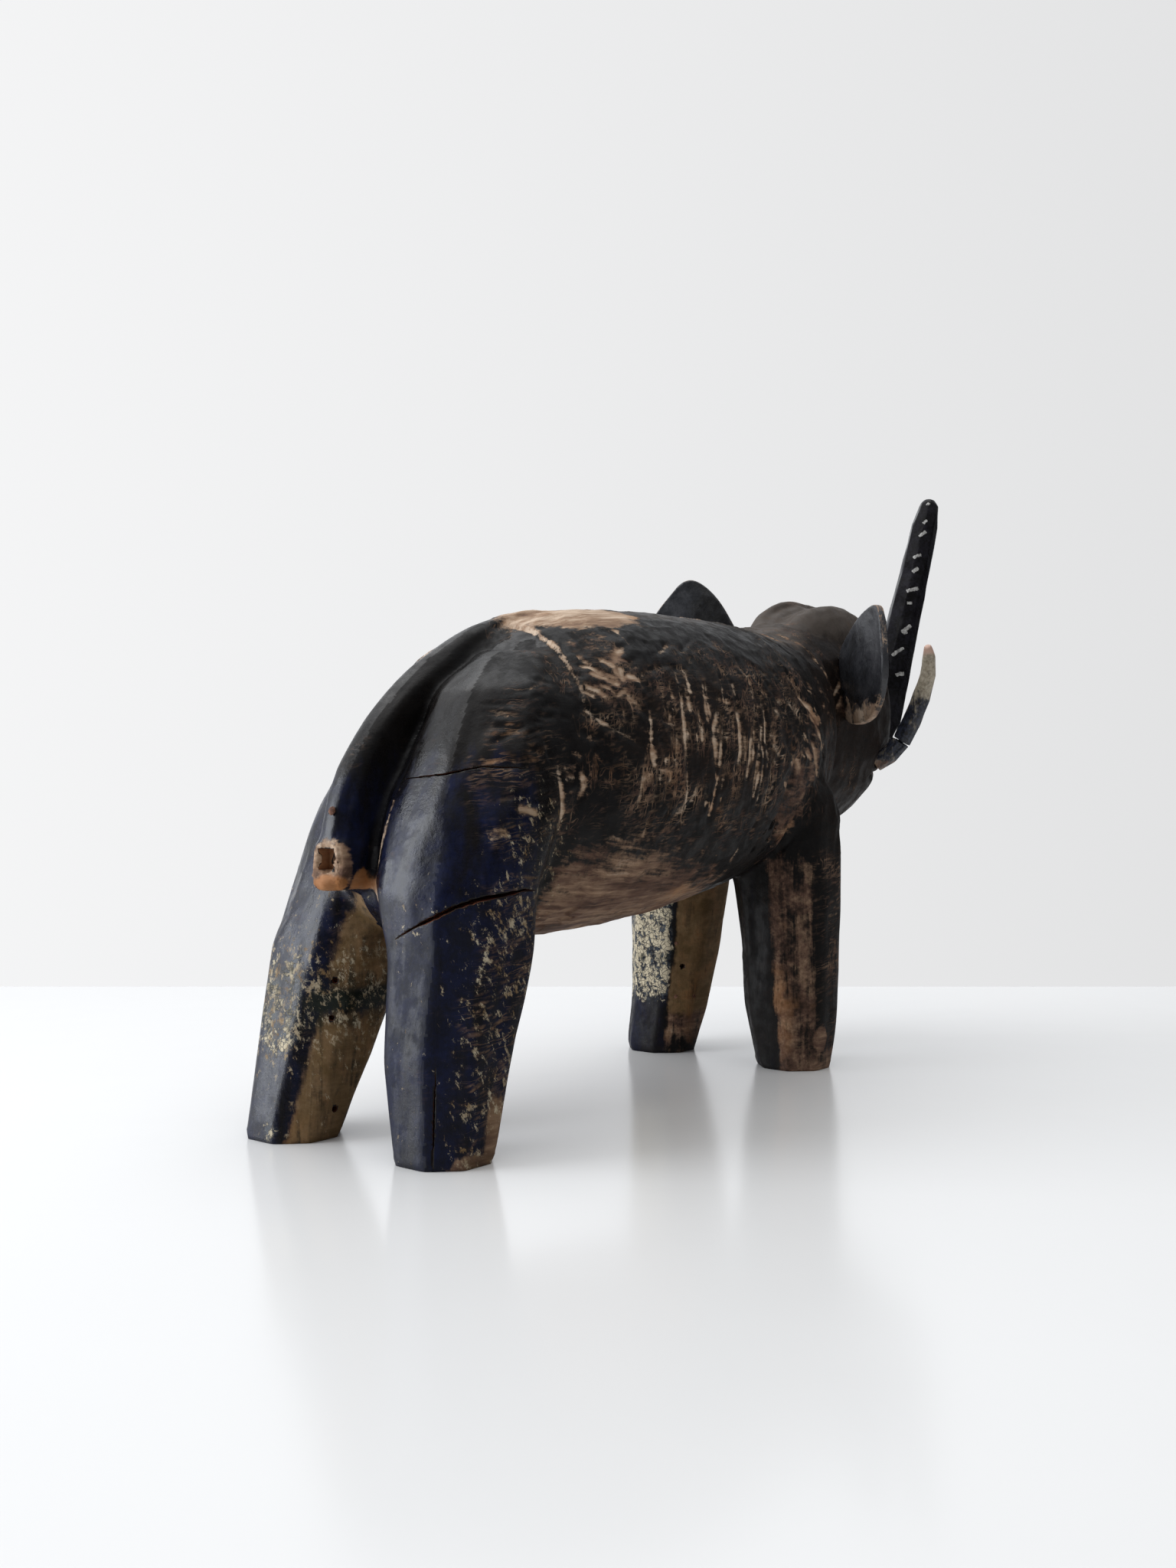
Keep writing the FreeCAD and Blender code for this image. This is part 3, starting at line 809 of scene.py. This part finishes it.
# Chisel strokes on the right flank: half width, strength, then x and z of each point
STROKES = [
    (2.7, 1.00, (-132, 240), (-130, 222), (-125, 196), (-124, 180)),
    (2.3, 0.95, (-110, 234), (-108, 219), (-114, 204), (-115, 178)),
    (2.0, 0.95, (-40, 278), (-47, 248), (-46, 232)),
    (3.2, 1.00, (-47, 246), (-46, 228)),
    (1.6, 0.65, (-45, 230), (-43, 208)),
    (2.1, 0.95, (-2, 288), (-10, 262), (-13, 226)),
    (3.0, 0.85, (38, 276), (24, 257), (25, 226)),
    (2.2, 1.00, (60, 284), (56, 246), (52, 228)),
    (1.6, 0.60, (100, 267), (94, 242)),
    (2.2, 0.80, (116, 286), (130, 276), (146, 259)),
    (2.7, 1.00, (153, 292), (174, 280), (204, 265)),
    (1.8, 0.80, (99, 298), (101, 284)),
    (2.6, 0.95, (14, 325), (-15, 308)),
    (1.8, 0.65, (42, 330), (10, 311)),
    (2.6, 0.85, (-36, 320), (-62, 302)),
    (2.3, 0.90, (-105, 274), (-87, 259), (-50, 243)),
    (2.0, 0.80, (-64, 280), (-44, 266)),
    (1.5, 0.70, (-35, 264), (-18, 257)),
    (1.8, 0.65, (-44, 293), (-9, 302), (8, 299)),
    (2.0, 0.80, (-86, 235), (-48, 229), (-14, 228)),
    (2.9, 0.70, (6, 222), (-4, 207), (-29, 195)),
    (2.7, 1.00, (-173, 235), (-154, 229)),
    (2.4, 0.95, (-173, 207), (-150, 202)),
    (1.8, 0.80, (-143, 262), (-120, 262)),
    (1.7, 0.75, (-181, 248), (-150, 257)),
    (1.6, 0.70, (-120, 286), (-98, 284)),
    (1.6, 0.75, (-118, 280), (-97, 277)),
    (1.5, 0.70, (-116, 292), (-95, 291)),
    (1.7, 0.70, (84, 232), (76, 205)),
    (1.7, 0.70, (110, 228), (96, 196)),
]


def strokes(skin):
    """Chisel strokes that cut through the paint, on both flanks."""
    for side in (-1, 1):
        for half, strength, *path in STROKES:
            shift = 0 if side < 0 else draw.normal() * 5
            line = [on_flank(skin, x + shift + draw.normal() * 0.5, side, z) for x, z in path]
            middle = np.mean(line, axis=0)
            amount = skin.local_groove(middle, line, 1.25 * half, 1.3)
            skin.mark("cut", strength * draw.uniform(0.75, 1.0) * amount)
            for _ in range(3):
                place = line[draw.integers(len(line))] + draw.normal(size=3) * np.array((7, 0, 7))
                lean = math.atan2(path[-1][1] - path[0][1], path[-1][0] - path[0][0]) + draw.normal() * 0.12
                short_stroke(skin, place, side, lean, draw.uniform(3, 9), draw.uniform(0.3, 0.7))
        # Upright ribs in the middle, slanting ones towards the shoulder and behind the haunch
        for count, places, heights, lean, longest in ((46, (-62, 100), (208, 294), 1.45, 24),
                                                      (34, (112, 208), (222, 306), -0.75, 17),
                                                      (18, (-112, -48), (232, 304), -0.50, 14),
                                                      (26, (-190, -112), (186, 296), 0.08, 13)):
            for _ in range(count):
                place = (draw.uniform(*places), 0, draw.uniform(*heights))
                short_stroke(skin, place, side, draw.normal(lean, 0.09), draw.uniform(6, longest),
                             draw.uniform(0.45, 1.0))
    for _ in range(200):
        side = draw.choice((-1, 1))
        place = (draw.uniform(-112, 170), 0, draw.normal(262, 32))
        turn = draw.normal(1.42, 0.12) if -62 < place[0] < 100 else draw.normal(-0.5, 0.2)
        short_stroke(skin, place, side, turn, draw.uniform(3, 12), draw.uniform(0.35, 0.9))
    skin.refresh()


def short_stroke(skin, place, side, turn, reach, strength):
    middle = on_flank(skin, place[0], side, place[2])
    lean = reach * np.array((math.cos(turn), 0, math.sin(turn)))
    start = on_flank(skin, middle[0] - lean[0], side, middle[2] - lean[2])
    end = on_flank(skin, middle[0] + lean[0], side, middle[2] + lean[2])
    amount = skin.local_groove(middle, [start, middle, end], draw.uniform(1.3, 3.0), draw.uniform(0.5, 1.1))
    skin.mark("cut", strength * amount)


def on_flank(skin, x, side, z):
    """The point of the surface that lies beside a place on the middle plane."""
    found = skin.tree.find((x, side * 140, z))
    for _ in range(2):
        found = skin.tree.find((x, found[0][1], z))
    return np.array(found[0])


# The middle line of each leg: z, x, y
LEG_LINES = {
    "right_hind": [(0, -201, -68), (60, -191, -62), (120, -175, -57), (200, -153, -48)],
    "left_hind": [(0, -212, 52), (60, -193, 50), (120, -176, 46), (200, -135, 42)],
    "right_front": [(0, 188, -69), (45, 193, -64), (90, 197, -60), (160, 201, -53)],
    "left_front": [(0, 187, 58), (45, 198, 56), (90, 202, 53), (160, 202, 49)],
}


def facing(skin, leg):
    """Which way each point of a leg faces, in degrees from forward, and how much it belongs to the leg."""
    line = np.array(LEG_LINES[leg], float)
    x, y, z = skin.points.T
    off_x = x - np.interp(z, line[:, 0], line[:, 1])
    off_y = y - np.interp(z, line[:, 0], line[:, 2])
    belongs = (np.hypot(off_x, off_y) < 62) & (y * line[0, 2] > -6)
    return np.degrees(np.arctan2(off_y, off_x)) % 360, belongs * fade(-z, -195, -150)


def between(value, low, high, soft):
    return fade(value, low - soft, low + soft) * fade(-value, -high - soft, -high + soft)


def body_marks(skin):
    """Where the paint is gone, blue, cream, olive, brown, matt or soiled, and where shade and a sheen are painted.
    """
    mark, patch = skin.mark, skin.patch
    x, y, z = skin.points.T
    turn = skin.mark_edges(6, 0.012, 0.06)
    # Painted shade: concave creases, like the grooves marked hollow elsewhere, are darkened in the shader
    mark("hollow", fade(-turn, 0.035, 0.11))
    mark("blue", fade(-x, 105, 165) * (0.35 + 0.5 * fade(-z, -270, -190)))
    mark("matt", 0.20 + 0.6 * fade(x, -150, -60) + 0.2 * fade(x, 150, 240))
    mark("brown", fade(x, 120, 250) * 0.55)
    mark("brown", fade(x, -110, -60) * fade(-z, -330, -290) * 0.30)
    mark("hatch", 0.5 * between(x, -300, -110, 20) * fade(-z, -300, -240))
    mark("hatch", 0.82 * between(x, -200, -110, 15) * between(z, 170, 290, 20) * fade(np.abs(y), 50, 80))
    mark("hatch", 0.9 * between(x, -110, 170, 25) * between(z, 168, 318, 20))
    mark("hatch", 0.60 * fade(x, 170, 230))
    mark("ribs", 0.62 * between(x, -120, 190, 25) * between(z, 185, 325, 25))
    mark("ribs", 0.40 * fade(x, 190, 230))
    mark("bare", 0.10 * fade(x, 200, 250))
    patch("bare", (320, 0, 372), (75, 60, 26), 0.28)
    # Painted sheen: a grey film on the tops of the crown, neck and back
    patch("top_sheen", (318, 0, 368), (85, 62, 40), 1.0)
    patch("top_sheen", (205, -10, 345), (70, 60, 30), 0.80)
    patch("top_sheen", (60, -20, 348), (90, 50, 22), 0.60)
    patch("bare", (225, -30, 340), (34, 28, 22), 0.36)

    # Bare wood on the log
    patch("bare", (-34, -24, 334), (66, 46, 20), 0.92)
    patch("pale", (-38, -24, 334), (74, 60, 30), 0.95)
    patch("bare", (-64, -66, 304), (26, 30, 24), 0.45)
    patch("pale", (-64, -66, 304), (26, 30, 24), 0.4)
    patch("bare", (30, -14, 346), (50, 22, 9), 0.36)
    patch("bare", (128, -4, 347), (24, 9, 7), 0.8)
    belly = fade(-z - 0.25 * np.maximum(x + 30, 0), -222, -150) * between(x, -122, 90, 14)
    mark("bare", 0.74 * belly)
    mark("pale", 0.10 * belly)
    # Painted shade: the lower belly and its underside are darkened
    mark("soil_and_shade", 0.30 * belly)
    patch("soil_and_shade", (-10, -30, 120), (130, 80, 26), 0.42)
    patch("bare", (40, 0, 124), (120, 80, 20), 0.6)
    for side in (-1, 1):
        patch("bare", (-66, side * 88, 286), (26, 18, 24), 0.44)
        patch("bare", (-104, side * 96, 214), (30, 20, 44), 0.26)
        patch("bare", (40, side * 104, 250), (90, 20, 50), 0.22)
        patch("bare", (-150, side * 96, 160), (34, 26, 50), 0.16)
        patch("chips", (-150, side * 96, 170), (50, 40, 70), 0.85)
        patch("brown", (30, side * 104, 250), (120, 30, 60), 0.50)
        patch("bare", (150, side * 90, 205), (30, 26, 46), 0.60)
        patch("bare", (176, side * 86, 246), (22, 26, 40), 0.50)
        patch("bare", (382, side * 50, 240), (16, 14, 18), 0.62)
        patch("bare", (292, side * 60, 290), (26, 16, 26), 0.44)
        patch("olive", (-160, side * 92, 168), (42, 34, 52), 0.62)
        patch("bare", (232, side * 74, 286), (30, 20, 40), 0.34)
    patch("bare", (-232, -4, 170), (14, 17, 19), 1.0)
    patch("pale", (-234, -4, 178), (10, 16, 14), 0.8)
    patch("amber", (-232, -4, 158), (14, 17, 9), 1.0)
    patch("bare", (-214, -12, 158), (10, 10, 14), 0.95)
    patch("amber", (-214, -12, 158), (12, 12, 16), 0.7)
    patch("bare", (-206, -16, 178), (8, 7, 40), 0.4)
    torn = draw.normal(size=(len(x), 1)) * 5.0
    for _ in range(9):
        torn = skin.around(torn)
    stub = np.linalg.norm((skin.points - (-234, -4, 164)) / (11, 17, 17), axis=1)
    skin.points += torn * fade(-stub, -1.1, -0.6)[:, None] * skin.normals

    legs = fade(-z, -160, -110)
    mark("runs", 0.8 * legs)

    # Right hind leg: indigo, with rows of dashes towards the front
    theta, inside = facing(skin, "right_hind")
    mark("blue", inside * between(theta, 100, 290, 20) * (0.95 - 0.38 * fade(theta, 215, 265)))
    mark("hatch", inside * fade(theta, 190, 255) * between(theta, 90, 330, 20) * 0.95)
    mark("bare", inside * between(theta, 268, 312, 12) * fade(-z, -60, -20) * 0.66)
    mark("bare", inside * between(theta, 230, 330, 20) * fade(-z, -16, -2) * 0.70)
    mark("chips", inside * (0.58 + 0.32 * between(theta, 230, 330, 20) + 0.1 * fade(z, 90, 150)))
    mark("olive", inside * between(theta, 235, 330, 20) * 0.5)
    mark("matt", inside * fade(-z, -175, -110) * 0.9)
    mark("soil_and_shade", inside * between(theta, 225, 330, 25) * fade(z, 90, 160) * 0.40)

    # Left hind leg: blue outside, bare inside, a green-black band and cream flecks round the middle
    theta, inside = facing(skin, "left_hind")
    inner = inside * between(theta, 218, 300, 15)
    mark("bare", inner * fade(z, 84, 104) * fade(-z, -172, -145) * 0.62)
    mark("bare", inner * fade(-z, -92, -64) * 0.60)
    mark("olive", inner * 0.9)
    mark("blue", inside * between(theta, 90, 215, 12) * 0.95)
    mark("cream", inside * between(theta, 140, 214, 20) * between(z, 60, 122, 20) * 0.46)
    patch("cream", (-229, 46, 62), (15, 18, 12), 0.58)
    patch("cream", (-236, 44, 8), (9, 9, 9), 0.5)
    mark("soil_and_shade", inside * between(theta, 195, 300, 20) * between(z, 76, 98, 12) * 0.75)
    mark("soil_and_shade", inside * between(theta, 120, 300, 20) * between(z, 60, 114, 14) * 0.52)
    mark("hatch", inside * 0.60)
    mark("chips", inside * (0.70 + 0.28 * between(z, 45, 125, 20)))
    for height in range(92, 142, 6):
        ripple = []
        for angle in (236, 258, 280):
            around = np.array((math.cos(math.radians(angle)), math.sin(math.radians(angle)), 0))
            start = np.array((np.interp(height, (60, 200), (-193, -140)), np.interp(height, (60, 200), (50, 42)),
                              height))
            ripple.append(np.array(skin.tree.find(start + 40 * around + (0, 0, 0.08 * (angle - 258)))[0]))
        mark("hollow", 0.55 * skin.local_groove(ripple[1], ripple, 2.2, 0.9))
    mark("soil_and_shade", inner * 0.46)
    mark("amber", inner * 0.38)

    # Right front leg: bare in the middle, dark on both sides
    theta, inside = facing(skin, "right_front")
    mark("bare", inside * between(theta, 186, 246, 14) * 0.62)
    mark("bare", inside * between(theta, 196, 300, 16) * fade(-z, -40, -8) * 0.62)
    mark("blue", inside * between(theta, 120, 186, 12) * 0.5)
    mark("hatch", inside * between(theta, 232, 320, 12) * 1.0)
    mark("ribs", inside * between(theta, 236, 320, 12) * 0.5)
    patch("bare", (182, -96, 24), (9, 9, 12), 0.9)
    mark("runs", inside * between(theta, 170, 300, 20) * 0.9)
    mark("soil_and_shade", inside * between(theta, 180, 300, 20) * 0.34)

    # Left front leg: crackled cream outside, olive inside, dark at the foot
    theta, inside = facing(skin, "left_front")
    mark("cream", inside * between(theta, 100, 212, 8) * between(z, 38, 170, 14) * 0.60)
    mark("bare", inside * between(theta, 214, 300, 8) * between(z, 2, 140, 16) * 0.66)
    mark("olive", inside * between(theta, 206, 300, 8) * fade(z, 18, 44))
    mark("soil_and_shade", inside * between(theta, 150, 214, 10) * between(z, 72, 84, 6) * 0.5)
    mark("soil_and_shade", inside * between(theta, 214, 300, 10) * 0.40)
    mark("amber", inside * between(theta, 214, 300, 10) * 0.42)
    mark("blue", inside * between(theta, 100, 230, 12) * 0.7)


def polish(skin):
    """The upper rump is rubbed to a shine where it faces backwards."""
    facing_way = skin.normals
    for _ in range(12):
        facing_way = skin.around(facing_way)
    turned = np.degrees(np.arctan2(facing_way[:, 1], facing_way[:, 0])) % 360
    x = skin.points[:, 0]
    shiny = (turned > 95) & (turned < 203) & (x < -60)
    first = np.empty(len(skin.mesh.polygons), np.int32)
    corner = np.empty(len(skin.mesh.loops), np.int32)
    skin.mesh.polygons.foreach_get("loop_start", first)
    skin.mesh.loops.foreach_get("vertex_index", corner)
    skin.mesh.polygons.foreach_set("material_index", shiny[corner[first]].astype(np.int32))


def make_body():
    skin = carve_body()
    strokes(skin)
    body_marks(skin)
    skin.points[:, 2] = np.where(skin.sole, 0.0, np.maximum(skin.points[:, 2], 0.0))
    skin.points[:, 0] = np.maximum(skin.points[:, 0], CAD_BOX[0][0] / MM + MIDDLE[0] + 0.05)
    skin.done("body", "body_wood", PAINTED, POLISHED, SPLIT, RAW)
    polish(skin)
    thigh = [(-223, -38, 124), (-219, -63, 137), (-208, -82, 148), (-196, -93, 153),
             (-166, -100, 157), (-148, -101, 156)]
    outward = [(-1, -0.2, 0), (-0.9, -0.6, 0), (-0.7, -0.8, 0), (-0.5, -1, 0), (-0.1, -1, 0), (0, -1, 0)]
    cut_with(skin, cleft("thigh_crack", thigh, outward, 2.6, 8, SPLIT))
    level = [(-224, -6, 224), (-196, -30, 224), (-192, -56, 225), (-180, -80, 230), (-157, -96, 229)]
    outward = [(-1, 0, 0.2), (-1, -0.3, 0.2), (-0.8, -0.8, 0.1), (-0.4, -1, 0.1), (0, -1, 0)]
    cut_with(skin, cleft("rump_crack", level, outward, 0.9, 7, SPLIT))
    cut_with(skin, square_hole("tail_hole", (-235, 0, 175), (24, 12.6, 12.6), RAW))
    foot = [(-226, -84, 2), (-225, -84, 30), (-223, -83, 58)]
    cut_with(skin, cleft("foot_crack", foot, [(-1, -0.9, 0)] * 3, 1.1, 9, SPLIT))
    holes = [((-212, 14, 99), (-1, -1, 0)), ((-214, 15, 76), (-1, -1, 0)), ((-206, 22, 19), (-0.3, -1, 0)),
             ((176, 29, 71), (-1, -1, 0)), ((-150, 92, 96), (-0.2, 1, 0))]
    for number, (place, outward) in enumerate(holes):
        cut_with(skin, drill("nail_hole_%d" % number, place, outward, 1.9, 9, SPLIT))
    return skin


# ---------------------------------------------------------------- the set-in pieces

# Half lengths of the white dashes on the trunk, from the tip down
DASHES = (2.2, 2.8, 5.0, 6.5, 4.0, 7.0, 3.0, 6.0, 2.4, 7.5, 5.0)


def along_stick(point, normal):
    return UP + 0.3 * FORWARD


def make_trunk():
    skin = Skin("raised_trunk", "trunk", SMALL_VOXEL * 1.2)
    skin.smooth(10)
    skin.index()
    long_cuts(skin, skin.points[:, 0] > 402, 9, along_stick, 0.5, 26, 26, 0.03)
    skin.mark_edges(1, 0.03, 0.14)
    skin.patch("bare", (500, -30, 492), (6, 6, 8), 0.5)
    skin.patch("bare", (452, -34, 340), (8, 8, 20), 0.45)
    for number in range(len(DASHES)):
        height = 482 - 16.0 * number + draw.uniform(-7, 7)
        middle = np.array((np.interp(height, (332, 491), (440, 501)) - 13.0 + draw.uniform(-4, 3), -35.5, height))
        reach = DASHES[number]
        tilt = draw.uniform(-0.1, 1.0)
        start = middle + np.array((-0.75 * reach, 0.65 * reach, -tilt * reach))
        end = middle + np.array((0.75 * reach, -0.65 * reach, tilt * reach))
        dash = [np.array(skin.tree.find(point)[0]) for point in (start, middle, end)]
        skin.mark("dash", draw.uniform(0.85, 1.0) * skin.groove(dash, 2.6, 0.001, 0.1))
    skin.done("trunk", "trunk_wood", painted_trunk())


def make_ear(side, material):
    name = "left" if side > 0 else "right"
    skin = Skin("leaf_ear_" + name, "ear_" + name, SMALL_VOXEL)
    skin.smooth(8)
    centre = (skin.points.max(0) + skin.points.min(0)) / 2
    outward = np.array((-math.sin(math.radians(38)), side * math.cos(math.radians(38)), 0.0))
    face = np.array((-outward[1] * side, outward[0] * side, 0.0))
    offset = skin.points - centre
    free = fade(offset @ outward, -38, -20)
    a = (offset @ outward) / 48
    b = offset[:, 2] / 52
    cup = np.clip(1 - a ** 2 - b ** 2, 0, 1)
    skin.points += (4.0 * cup * free)[:, None] * face
    skin.refresh()
    skin.index()

    def upward(point, normal):
        return UP

    long_cuts(skin, offset @ outward > -30, 11, upward, 0.35, 20, 16, 0.02)
    skin.mark_edges(1, 0.03, 0.12)
    low = fade(-b, 0.15, 0.75)
    skin.mark("bare", 0.66 * low)
    skin.mark("bare", 0.42 * fade(-(offset @ outward), 5, 40))
    rim = fade(np.abs(skin.normals @ face), 0.85, 0.3) * free
    skin.mark("bare", 0.5 * rim * fade(b, -0.5, 0.3))
    skin.done("ear_" + name, "ear_wood", material)


def make_tusk(side, material):
    name = "left" if side > 0 else "right"
    for node, piece in (("tusk_" + name, "curved_" + "tusk_" + name), ("tusk_root_" + name, "root_of_tusk_" + name)):
        skin = Skin(piece, node, SMALL_VOXEL * 0.8)
        skin.smooth(8)
        skin.index()
        long_cuts(skin, skin.points[:, 2] > 0, 7, along_stick, 0.35, 16, 16, 0.03)
        z = skin.points[:, 2]
        skin.mark_edges(1, 0.05, 0.2)
        skin.mark("tip", fade(z, 322, 338))
        skin.mark("dark", 0.36 + 0.40 * fade(-z, -318, -282))
        skin.mark("bare", 0.7 * fade(-z, -250, -238))
        skin.done(node, "tusk_wood", material)


make_body()
make_trunk()
EAR_PAINT = painted_ear()
TUSK_PAINT = painted_tusk()
for flank in (-1, 1):
    make_ear(flank, EAR_PAINT)
    make_tusk(flank, TUSK_PAINT)
IRON = rusty_iron()
for node in ("nail_rump", "nails_leg"):
    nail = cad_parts[node]
    for slot in nail.material_slots:
        slot.material = IRON


# ---------------------------------------------------------------- floor, light and camera

LOOK = (0.777, 0.629, 0.0)          # the way the camera faces
ROOM_DARK = 0.07
ROOM_BRIGHT = 0.95
ROOM_TOP = 0.55


def make_floor():
    """A white table top, square to the camera, that ends a little way behind the object."""
    ahead = unit(np.array(LOOK))
    aside = np.array((ahead[1], -ahead[0], 0.0))
    corners = []
    for near, right in ((-4.0, -4.0), (-4.0, 4.0), (0.46, 4.0), (0.46, -4.0)):
        corners.append(Vector(ahead * near + aside * right))
    top = bmesh.new()
    top.faces.new([top.verts.new(corner) for corner in corners])
    mesh = bpy.data.meshes.new("floor")
    top.to_mesh(mesh)
    top.free()
    mesh.materials.append(white_floor())
    floor = placed("floor", mesh)
    floor.location.z = -0.0001


def soft_light(name, place, size, power, colour, aim=(0.0, 0.0, 0.2)):
    lamp = bpy.data.lights.new(name, "AREA")
    lamp.shape = "RECTANGLE"
    lamp.size, lamp.size_y = size
    lamp.energy = power
    lamp.color = colour
    stand = placed(name, lamp)
    stand.location = place
    stand.rotation_euler = (Vector(aim) - Vector(place)).to_track_quat("-Z", "Y").to_euler()
    stand.visible_camera = False


def make_world():
    """A white room that is darker on the elephant's right. The backdrop seen directly is white with painted shade,
    darker towards the right of the view.
    """
    world = bpy.data.worlds.new("white_room")
    bpy.context.scene.world = world
    web = Web(world)
    where = web.places["Generated"]
    split = web.make("ShaderNodeSeparateXYZ", {0: where}).outputs
    leftward = web.band(split["Y"], -0.45, 0.45, ROOM_DARK, ROOM_BRIGHT)
    upward = web.band(split["Z"], 0.15, 0.75, 0.0, ROOM_TOP)
    strength = web.most(leftward, upward)
    light = web.make("ShaderNodeBackground", {0: (0.95, 0.97, 1.0, 1), 1: strength}).outputs[0]
    # Painted shade on the backdrop: darker towards the right of the view
    rightward = web.make("ShaderNodeVectorMath", {0: where, 1: (LOOK[1], -LOOK[0], 0.0)}, operation="DOT_PRODUCT")
    wall = web.make("ShaderNodeMapRange", {"Value": rightward.outputs["Value"], "From Min": -0.4, "From Max": 0.4,
                                           "To Min": 0.925, "To Max": 0.765}).outputs[0]
    seen = web.make("ShaderNodeBackground", {0: (0.99, 0.993, 1.0, 1), 1: wall}).outputs[0]
    direct = web.make("ShaderNodeLightPath").outputs["Is Camera Ray"]
    pick = web.make("ShaderNodeMixShader", {0: direct, 1: light, 2: seen}).outputs[0]
    web.make("ShaderNodeOutputWorld", {"Surface": pick})


def make_camera():
    eye = np.array((-841.0, -695.0, 220.0))
    look = Vector(LOOK)
    data = bpy.data.cameras.new("camera")
    data.lens = 35.0
    data.sensor_width = 36.0
    data.clip_start = 0.05
    camera = placed("camera", data)
    camera.location = Vector((eye - MIDDLE) * MM)
    camera.rotation_euler = look.to_track_quat("-Z", "Y").to_euler()
    bpy.context.scene.camera = camera


make_floor()
make_world()
soft_light("window", (-1.75, 1.25, 0.75), (1.3, 1.5), 34, (0.90, 0.94, 1.0), (-0.2, 0.0, 0.2))
soft_light("ceiling", (-0.1, 0.1, 2.2), (2.4, 2.4), 27, (1.0, 1.0, 1.0))
make_camera()
bpy.context.scene.view_settings.view_transform = "Standard"
